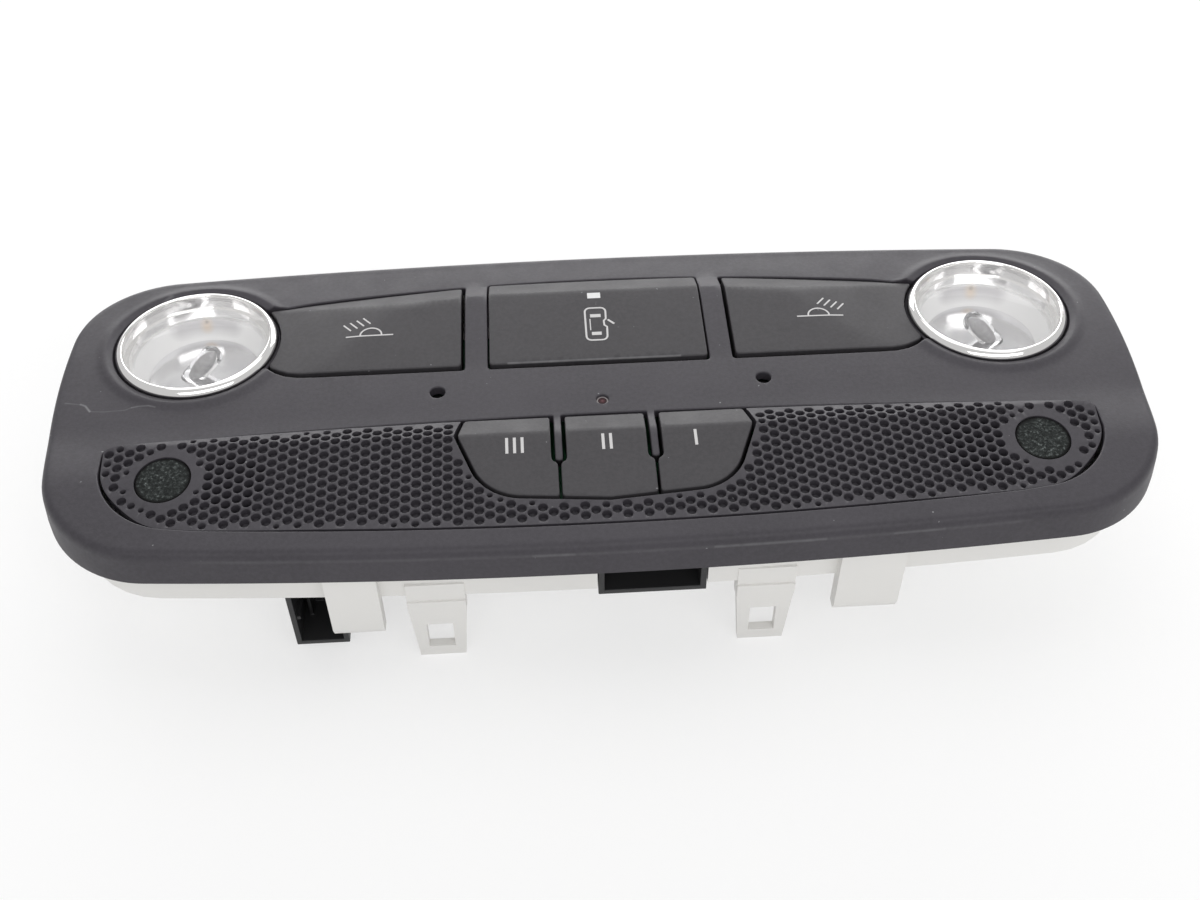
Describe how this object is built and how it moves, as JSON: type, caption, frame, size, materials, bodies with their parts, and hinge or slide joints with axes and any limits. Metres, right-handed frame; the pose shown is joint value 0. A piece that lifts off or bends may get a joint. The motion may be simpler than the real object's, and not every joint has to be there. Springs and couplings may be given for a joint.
{
  "type": "car dome light",
  "caption": "Overhead console for a car roof: two round reading lamps, hinged keys, a perforated front grille and a clip-in rear housing.",
  "frame": {"origin": "middle of the outline, at the level of the clips' ends that it stands on", "axes": "+X to the right along the console's length, +Y from the grille to the lamps, +Z out of the face"},
  "size_m": [0.2378, 0.0936, 0.0421],
  "materials": {
    "face_plastic": "fine textured moulding",
    "grille_plastic": "fine textured moulding",
    "key_plastic": "soft matte coating",
    "housing_plastic": "smooth moulding",
    "connector_plastic": "smooth moulding",
    "plunger_plastic": "smooth moulding",
    "board": "solder resist",
    "red_light": "tinted clear moulding",
    "light_pipe": "tinted clear moulding",
    "light_window": "translucent white",
    "screw_steel": "zinc plated",
    "bright_ring": "bright plated",
    "clear_lens": "clear polished moulding",
    "reflector": "vapour coated, satin",
    "bulb_glass": "clear glass",
    "contact_brass": "stamped strip",
    "mic_can": "drawn can",
    "boot_rubber": "soft moulding",
    "felt": "felt"
  },
  "bodies": {
    "console": {"bezel": "face_plastic", "grille": "grille_plastic", "rear_housing": "housing_plastic", "circuit_board": "board", "main_connector": "connector_plastic", "side_connector": "connector_plastic", "lens_ring_left": "bright_ring", "lens_ring_right": "bright_ring", "lens_left": "clear_lens", "lens_right": "clear_lens", "reflector_left": "reflector", "reflector_right": "reflector", "bulb_left": "bulb_glass", "bulb_right": "bulb_glass", "bulb_holder_left": "housing_plastic", "bulb_holder_right": "housing_plastic", "contact_strips_left": "contact_brass", "contact_strips_right": "contact_brass", "microphone_left": "mic_can", "microphone_right": "mic_can", "mic_boot_left": "boot_rubber", "mic_boot_right": "boot_rubber", "mic_felt_left": "felt", "mic_felt_right": "felt", "indicator_light": "red_light", "foot_light_left": "light_pipe", "foot_light_right": "light_pipe", "switch_reading_left": "connector_plastic", "switch_reading_right": "connector_plastic", "switch_door_light": "connector_plastic", "switch_preset_1": "connector_plastic", "switch_preset_2": "connector_plastic", "switch_preset_3": "connector_plastic", "housing_screws": "screw_steel", "board_screws": "screw_steel"},
    "reading_key_left": {"reading_key_left": "key_plastic"},
    "reading_key_right": {"reading_key_right": "key_plastic"},
    "door_light_key": {"door_light_key": "key_plastic", "door_light_window": "light_window"},
    "preset_key_1": {"preset_key_1": "key_plastic"},
    "preset_key_2": {"preset_key_2": "key_plastic"},
    "preset_key_3": {"preset_key_3": "key_plastic"},
    "plunger_reading_left": {"plunger_reading_left": "plunger_plastic"},
    "plunger_reading_right": {"plunger_reading_right": "plunger_plastic"},
    "plunger_door_light": {"plunger_door_light": "plunger_plastic"},
    "plunger_preset_1": {"plunger_preset_1": "plunger_plastic"},
    "plunger_preset_2": {"plunger_preset_2": "plunger_plastic"},
    "plunger_preset_3": {"plunger_preset_3": "plunger_plastic"}
  },
  "joints": [
    {"name": "reading_key_left_press", "type": "hinge", "parent": "console", "child": "reading_key_left", "pos_m": [-0.05, 0.03625, 0.0334], "axis": [1, 0, 0], "range_deg": [0, 2.3], "stiffness_Nm_per_rad": 0.3, "springref_deg": -2.86},
    {"name": "reading_key_right_press", "type": "hinge", "parent": "console", "child": "reading_key_right", "pos_m": [0.05, 0.03625, 0.0334], "axis": [1, 0, 0], "range_deg": [0, 2.3], "stiffness_Nm_per_rad": 0.3, "springref_deg": -2.86},
    {"name": "door_light_key_press", "type": "hinge", "parent": "console", "child": "door_light_key", "pos_m": [0, 0.03775, 0.0334], "axis": [1, 0, 0], "range_deg": [0, 2.3], "stiffness_Nm_per_rad": 0.3, "springref_deg": -2.86},
    {"name": "preset_key_1_press", "type": "hinge", "parent": "console", "child": "preset_key_1", "pos_m": [0.0202, -0.00485, 0.035], "axis": [1, 0, 0], "range_deg": [0, 2.3], "stiffness_Nm_per_rad": 0.15, "springref_deg": -2.86},
    {"name": "preset_key_2_press", "type": "hinge", "parent": "console", "child": "preset_key_2", "pos_m": [0, -0.00485, 0.035], "axis": [1, 0, 0], "range_deg": [0, 2.3], "stiffness_Nm_per_rad": 0.15, "springref_deg": -2.86},
    {"name": "preset_key_3_press", "type": "hinge", "parent": "console", "child": "preset_key_3", "pos_m": [-0.0202, -0.00485, 0.035], "axis": [1, 0, 0], "range_deg": [0, 2.3], "stiffness_Nm_per_rad": 0.15, "springref_deg": -2.86},
    {"name": "plunger_reading_left_travel", "type": "slide", "parent": "console", "child": "plunger_reading_left", "axis": [0, 0, -1], "range_m": [0, 0.000889]},
    {"name": "plunger_reading_right_travel", "type": "slide", "parent": "console", "child": "plunger_reading_right", "axis": [0, 0, -1], "range_m": [0, 0.000889]},
    {"name": "plunger_door_light_travel", "type": "slide", "parent": "console", "child": "plunger_door_light", "axis": [0, 0, -1], "range_m": [0, 0.000949]},
    {"name": "plunger_preset_1_travel", "type": "slide", "parent": "console", "child": "plunger_preset_1", "axis": [0, 0, -1], "range_m": [0, 0.000683]},
    {"name": "plunger_preset_2_travel", "type": "slide", "parent": "console", "child": "plunger_preset_2", "axis": [0, 0, -1], "range_m": [0, 0.000683]},
    {"name": "plunger_preset_3_travel", "type": "slide", "parent": "console", "child": "plunger_preset_3", "axis": [0, 0, -1], "range_m": [0, 0.000683]}
  ],
  "couplings": [
    {"joint": "plunger_reading_left_travel", "follows": "reading_key_left_press", "m_per_rad": 0.022},
    {"joint": "plunger_reading_right_travel", "follows": "reading_key_right_press", "m_per_rad": 0.022},
    {"joint": "plunger_door_light_travel", "follows": "door_light_key_press", "m_per_rad": 0.0235},
    {"joint": "plunger_preset_1_travel", "follows": "preset_key_1_press", "m_per_rad": 0.0169},
    {"joint": "plunger_preset_2_travel", "follows": "preset_key_2_press", "m_per_rad": 0.0169},
    {"joint": "plunger_preset_3_travel", "follows": "preset_key_3_press", "m_per_rad": 0.0169}
  ]
}
